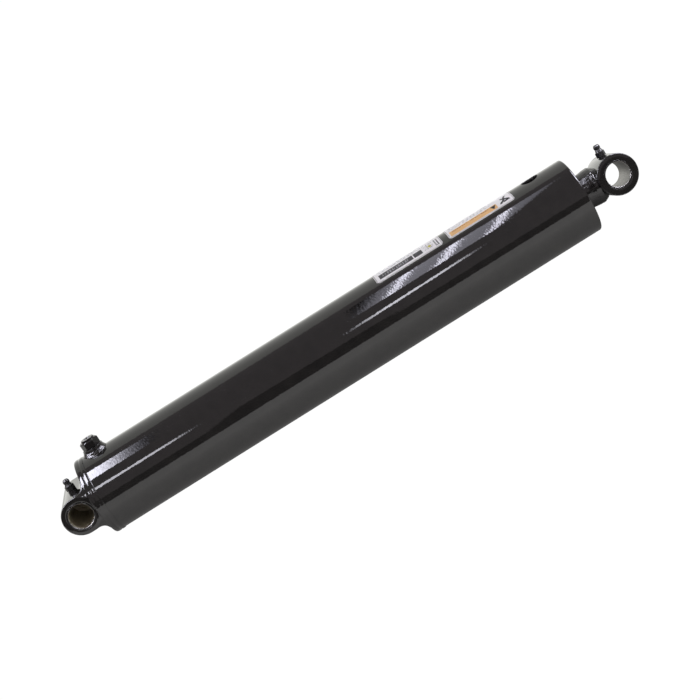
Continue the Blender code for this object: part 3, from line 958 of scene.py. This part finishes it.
def make_label(name, node, span, printer):
    """Thin film wrapped on the tube, with rounded corners, a rolled edge and its print per face."""
    corner, outer, thick, under_by = 3.2, TUBE_R + 0.02, 0.16, 0.3
    low, high = span
    reach = math.radians(LABEL_HALF_ANGLE)
    length, width = high - low, 2 * reach * TUBE_R
    across, along = 132, 250
    bend = np.linspace(0, 1, across + 1)
    v = width * bend
    near = np.minimum(v, width - v)
    curve = corner - np.sqrt(np.maximum(0, corner**2 - (corner - near) ** 2))
    inset = np.where(near < corner, curve, 0.0)
    t = np.linspace(0, 1, along + 1)
    u = inset[:, None] + t[None, :] * (length - 2 * inset[:, None])
    vv = np.repeat(v[:, None], along + 1, 1)
    angle = -reach + vv / TUBE_R
    ends = np.minimum(u - inset[:, None], length - inset[:, None] - u)
    edge = np.minimum(ends, np.minimum(vv, width - vv))
    lift = outer + thick * np.clip(edge / 0.25 + 0.25, 0.0, 1.0)
    top = np.stack([low + u, lift * np.sin(angle), lift * np.cos(angle)], -1).reshape(-1, 3)
    sunk = outer - under_by
    under = np.stack([low + u, sunk * np.sin(angle), sunk * np.cos(angle)], -1).reshape(-1, 3)
    wide = along + 1
    count = (across + 1) * wide
    i, j = np.meshgrid(np.arange(across), np.arange(along), indexing="ij")
    base = (i * wide + j).reshape(-1)
    faces = np.stack([base, base + 1, base + wide + 1, base + wide], -1)
    lower = faces[:, ::-1] + count
    rim = np.concatenate(
        [
            np.arange(0, along),
            np.arange(along, across * wide + along, wide),
            np.arange(across * wide + along, across * wide, -1),
            np.arange(across * wide, 0, -wide),
        ]
    )
    after = np.roll(rim, -1)
    sides = np.stack([rim, rim + count, after + count, after], -1)
    mesh = bpy.data.meshes.new(name)
    all_faces = np.vstack([faces, lower, sides])
    mesh.from_pydata(np.vstack([top, under]).tolist(), [], all_faces.tolist())
    mesh.transform(frame_of("Z", 0.0))
    mid_u = (u[:-1, :-1] + u[1:, 1:]) / 2
    mid_v = (vv[:-1, :-1] + vv[1:, 1:]) / 2
    colours = np.ones((len(all_faces), 4))
    colours[:, :3] = WHITE
    colours[: len(faces), :3] = printer(mid_u, mid_v, length, width).reshape(-1, 3)
    layer = mesh.color_attributes.new("print", "FLOAT_COLOR", "CORNER")
    layer.data.foreach_set("color", np.repeat(colours, 4, 0).astype(np.float32).reshape(-1))
    mesh.materials.append(FILM)
    mesh.shade_smooth()
    mesh.set_sharp_from_angle(angle=math.radians(40))
    label = bpy.data.objects.new(name, mesh)
    bpy.context.scene.collection.objects.link(label)
    keep(label, "barrel", node)


# ---------------------------------------------------------------- studio


def glow(name, colour, strength, ramp=None, axis="X"):
    """Emission for a card. ramp gives (place, share) stops along its own X or Y, from 0 to 1."""
    n = Nodes(name)
    n.tree.nodes.remove(n.shader)
    light = n.add("ShaderNodeEmission", in_Color=(*colour, 1.0), in_Strength=strength)
    n.link(light, "Emission", n.tree.nodes["Material Output"], "Surface")
    if ramp:
        source = n.add("ShaderNodeTexCoord")
        split = n.add("ShaderNodeSeparateXYZ")
        n.link(source, "UV", split, "Vector")
        shade = n.ramp(split, axis, ramp)
        scale = n.add("ShaderNodeMath", operation="MULTIPLY")
        scale.inputs[1].default_value = strength
        n.link(shade, "Color", scale, 0)
        n.link(scale, "Value", light, "Strength")
    return n.material


SQUARE = ((0, 0), (1, 0), (1, 1), (0, 1))


def card(name, corners, material, camera=False, glossy=True, uvs=SQUARE, diffuse=True):
    """Four-cornered card of the studio, with a UV for each corner."""
    mesh = bpy.data.meshes.new(name)
    mesh.from_pydata(corners, [], [(0, 1, 2, 3)])
    layer = mesh.uv_layers.new(name="UVMap")
    for loop, uv in zip(layer.data, uvs):
        loop.uv = uv
    mesh.materials.append(material)
    obj = bpy.data.objects.new(name, mesh)
    bpy.context.scene.collection.objects.link(obj)
    obj.visible_camera = camera
    obj.visible_glossy = glossy
    obj.visible_diffuse = glossy and diffuse
    obj.visible_transmission = glossy
    obj.visible_shadow = False
    return obj


def overhead(name, ends, material, distance=1.0, uvs=SQUARE):
    """Card seen from the barrel. ends gives x and elevation (degrees above the front horizon) per corner."""
    corners = []
    for x, elevation in ends:
        e = math.radians(elevation)
        corners.append((x, -distance * math.cos(e), AXIS_Z + distance * math.sin(e)))
    return card(name, corners, material, uvs=uvs, diffuse=False)


FLOOR_UP = 0.0005  # metres; the reflected cards lie this far over the floor
NEAR_EDGE = -0.168  # metres; where the floor's sheen stops on the near side
COOL = (0.88, 0.87, 1.0)
SILVER = (0.92, 0.91, 1.0)
SHEEN = (1.0, 0.985, 0.975)
WARM = (1.0, 1.0, 0.955)


def floor_card(name, left, right, near, far, material):
    corners = [(left, near, FLOOR_UP), (right, near, FLOOR_UP), (right, far, FLOOR_UP), (left, far, FLOOR_UP)]
    return card(name, corners, material)


def make_studio():
    """White room for the camera, and cards that only the object's paint and light see."""
    white = glow("studio_white", (1.0, 1.0, 1.0), 1.02)
    card("floor", [(-9, -9, 0), (9, -9, 0), (9, 9, 0), (-9, 9, 0)], white, camera=True, glossy=False)
    for name, corners in {
        "backdrop_far": [(-9, 9, 0), (9, 9, 0), (9, 9, 9), (-9, 9, 9)],
        "backdrop_near": [(-9, -9, 0), (9, -9, 0), (9, -9, 9), (-9, -9, 9)],
        "backdrop_left": [(-9, -9, 0), (-9, 9, 0), (-9, 9, 9), (-9, -9, 9)],
        "backdrop_right": [(9, -9, 0), (9, 9, 0), (9, 9, 9), (9, -9, 9)],
    }.items():
        card(name, corners, white, camera=True, glossy=False)
    stops = [(0.0, 1.0), (0.5, 1.0), (0.75, 0.6), (0.88, 0.27), (1.0, 0.09)]
    floor_card("floor_front", -0.9, 0.9, NEAR_EDGE, 0, glow("floor_sheen", SHEEN, 1.3, stops, "Y"))
    stops = [(0.0, 0.12), (0.03, 0.4), (0.1, 1.0)]
    back = glow("floor_back_sheen", (1.0, 1.0, 0.96), 0.75, stops, "Y")
    floor_card("floor_back", -2, 2, 0, 4, back)
    stops = [(0.0, 1.0), (0.14, 1.0), (0.26, 0.77), (1.0, 0.77)]
    wall = glow("wall_glow", WARM, 1.25, stops, "Y")
    card("wall_behind", [(-3, 2.6, 0.0), (3, 2.6, 0.0), (3, 2.2, 4.2), (-3, 2.2, 4.2)], wall)
    top = glow("ceiling_glow", WARM, 1.0)
    card("ceiling_behind", [(-3, 0.36, 1.5), (3, 0.36, 1.5), (3, 2.2, 4.2), (-3, 2.2, 4.2)], top)
    stops = [(0.0, 1.0), (0.915, 1.0), (0.94, 0.55), (0.957, 0.2), (0.975, 0.08), (1.0, 0.0)]
    left = glow("left_box", COOL, 25.0, stops)
    overhead("softbox_left", ((-1.6, 60.5), (-0.34, 60.5), (-0.34, 86.5), (-1.6, 86.5)), left)
    far = glow("far_right_box", COOL, 26.0)
    overhead("softbox_far_right", ((0.65, 55.0), (3.0, 55.0), (3.0, 94.0), (0.65, 94.0)), far)
    # The right box shines through three bright gaps, which lean because its UVs do.
    stops = [(0.0, 0.0), (0.05, 0.02), (0.12, 0.1)]
    stops += [(0.195, 0.14), (0.222, 0.9), (0.238, 0.9), (0.268, 0.15)]
    stops += [(0.425, 0.13), (0.455, 0.85), (0.472, 0.85), (0.505, 0.14)]
    stops += [(0.672, 0.12), (0.698, 0.88), (0.71, 0.88), (0.738, 0.12)]
    stops += [(0.93, 0.06), (0.98, 0.0)]
    right = glow("right_box", COOL, 25.0, stops)
    ends = ((0.03, 56.3), (0.295, 56.3), (0.42, 88.5), (0.03, 88.5))
    overhead("softbox_right", ends, right, uvs=((0.05, 0), (0.725, 0), (0.95, 1), (-0.05, 1)))
    strip = glow("strip", SILVER, 14.0, [(0.0, 1.0), (0.85, 0.8), (1.0, 0.02)])
    overhead("strip_left", ((-0.62, 29.4), (-0.275, 29.4), (-0.275, 33.6), (-0.62, 37.3)), strip)
    stops = [(0.0, 0.02), (0.12, 0.5), (0.3, 1.0), (0.75, 0.85), (0.9, 0.3), (1.0, 0.02)]
    strip = glow("strip_two", SILVER, 15.0, stops)
    overhead("strip_right", ((0.012, 27.6), (0.262, 32.2), (0.262, 37.2), (0.012, 32.8)), strip)
    dark = glow("flag_black", (1.0, 0.95, 0.92), 0.12)
    floor_card("floor_dark", -4, 4, -4, NEAR_EDGE, dark)
    overhead("flag_low", ((-3.0, -2.0), (3.0, -2.0), (3.0, 1.5), (-3.0, 1.5)), dark)
    overhead("flag_middle", ((-0.27, 0.0), (0.11, 0.0), (0.08, 8.5), (-0.2, 14.0)), dark, 0.99)
    over = [(-0.6, -0.6, 1.3), (0.6, -0.6, 1.3), (0.6, 0.6, 1.3), (-0.6, 0.6, 1.3)]
    fill = card("top_fill", over, glow("fill", SILVER, 0.9))
    fill.visible_glossy = False
    side = glow("side_glow", SILVER, 9.0)
    card("side_card", [(1.5, -0.9, 0.5), (1.5, -0.25, 0.5), (1.5, -0.25, 1.0), (1.5, -0.9, 1.0)], side)
    world = bpy.data.worlds.new("studio")
    world.use_nodes = True
    world.node_tree.nodes["Background"].inputs["Color"].default_value = (0.45, 0.41, 0.42, 1.0)
    bpy.context.scene.world = world
    scene = bpy.context.scene
    scene.view_settings.view_transform = "Standard"
    scene.view_settings.look = "None"


def make_camera():
    """Looks almost square on at the near side from a little above, rolled so that the rod end is high."""
    azimuth, elevation, roll = (math.radians(a) for a in (-0.2, 13.54, 31.94))
    distance, lens = 1.666, 84.03
    level_share = math.cos(elevation)
    forward = Vector(
        (-math.sin(azimuth) * level_share, math.cos(azimuth) * level_share, -math.sin(elevation))
    )
    level = forward.cross(Vector((0, 0, 1))).normalized()
    upright = level.cross(forward)
    right = math.cos(roll) * level - math.sin(roll) * upright
    up = math.sin(roll) * level + math.cos(roll) * upright
    target = Vector((CAP_X + 0.3147, 0.0, AXIS_Z - 0.0105))
    place = target - forward * distance
    data = bpy.data.cameras.new("camera")
    data.lens = lens
    data.sensor_width = 36.0
    data.clip_end = 60.0
    camera = bpy.data.objects.new("camera", data)
    bpy.context.scene.collection.objects.link(camera)
    columns = Matrix((right, up, -forward)).transposed().to_4x4()
    camera.matrix_world = Matrix.Translation(place) @ columns
    bpy.context.scene.camera = camera


dress_cad_nodes()
make_camera()
make_barrel()
make_cap()
make_cap_weld()
make_bush("cap_eye_bush", "cap_bushing", CAP_EYE_HALF, 0.0, 0.0, "barrel", OILED)
make_bore_plug()
make_bush("rod_eye_bush", "rod_bushing", ROD_EYE_HALF, PIN_TO_PIN, ROD_TURN, "rod", STEEL_Y)
make_nipple("cap_nipple", "cap_grease_nipple", CAP_EYE_R, CAP_NIPPLE_TIP, 0.0, 0.0, "barrel")
make_nipple("rod_nipple", "rod_grease_nipple", ROD_EYE_R, ROD_NIPPLE_TIP, PIN_TO_PIN, ROD_TURN, "rod")
make_rod_eye()
make_base_port()
make_rod()
make_head()
make_label("label_blocks", "label_cap_side", CAP_LABEL, print_size_label)
make_label("label_stripe", "label_rod_side", ROD_LABEL, print_stripe_label)
make_studio()
